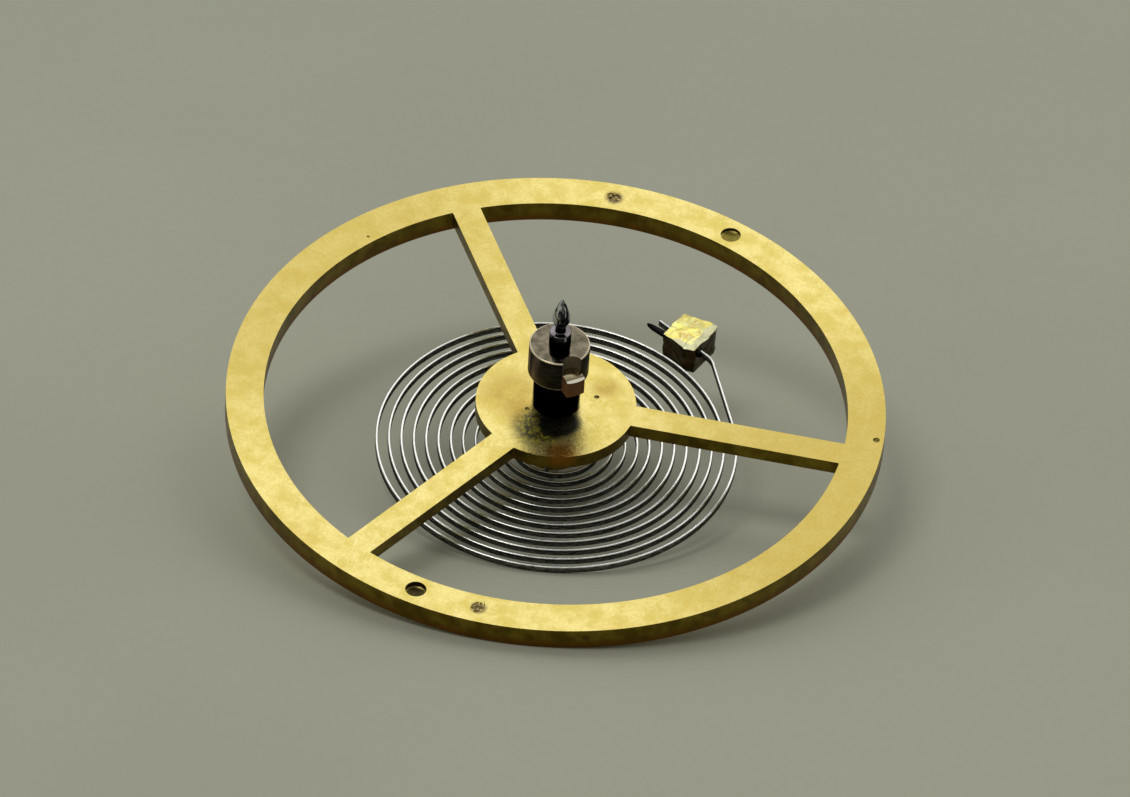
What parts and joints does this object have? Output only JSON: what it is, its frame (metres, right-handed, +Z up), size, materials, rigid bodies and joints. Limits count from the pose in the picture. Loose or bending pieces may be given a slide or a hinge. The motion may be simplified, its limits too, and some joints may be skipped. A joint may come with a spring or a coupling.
{
  "type": "balance wheel",
  "caption": "Watch balance: flat brass rim with straight arms and a hub on a pivoted steel staff, with roller, impulse finger, flat hairspring, collet and stud.",
  "frame": {"origin": "tip of the lower pivot, on the staff's axis, which is the middle of the part's lowest level", "axes": "+Z up the staff, from the hairspring side to the roller side; +X along one arm of the wheel"},
  "size_m": [0.018, 0.018, 0.0068],
  "materials": {
    "wheel_brass": "fine-brushed, lightly tarnished",
    "staff_steel": "black polished",
    "roller_steel": "polished top, oxidised side",
    "finger_steel": "polished, straw-tempered",
    "spring_steel": "bright rolled strip",
    "collet_brass": "turned",
    "pin_steel": "dark drawn",
    "stud_brass": "rough-filed"
  },
  "bodies": {
    "stud_side": {"hairspring_stud": "stud_brass", "stud_pin": "pin_steel", "hairspring": "spring_steel"},
    "balance": {"balance_wheel": "wheel_brass", "balance_staff": "staff_steel", "safety_roller": "roller_steel", "impulse_finger": "finger_steel", "hairspring_collet": "collet_brass", "collet_pin": "pin_steel"}
  },
  "joints": [
    {"name": "balance_swing", "type": "hinge", "parent": "stud_side", "child": "balance", "pos_m": [0, 0, 0.0014], "axis": [0, 0, 1], "range_deg": [-270, 270], "stiffness_Nm_per_rad": 0.0000054, "deforming": ["hairspring"]}
  ]
}
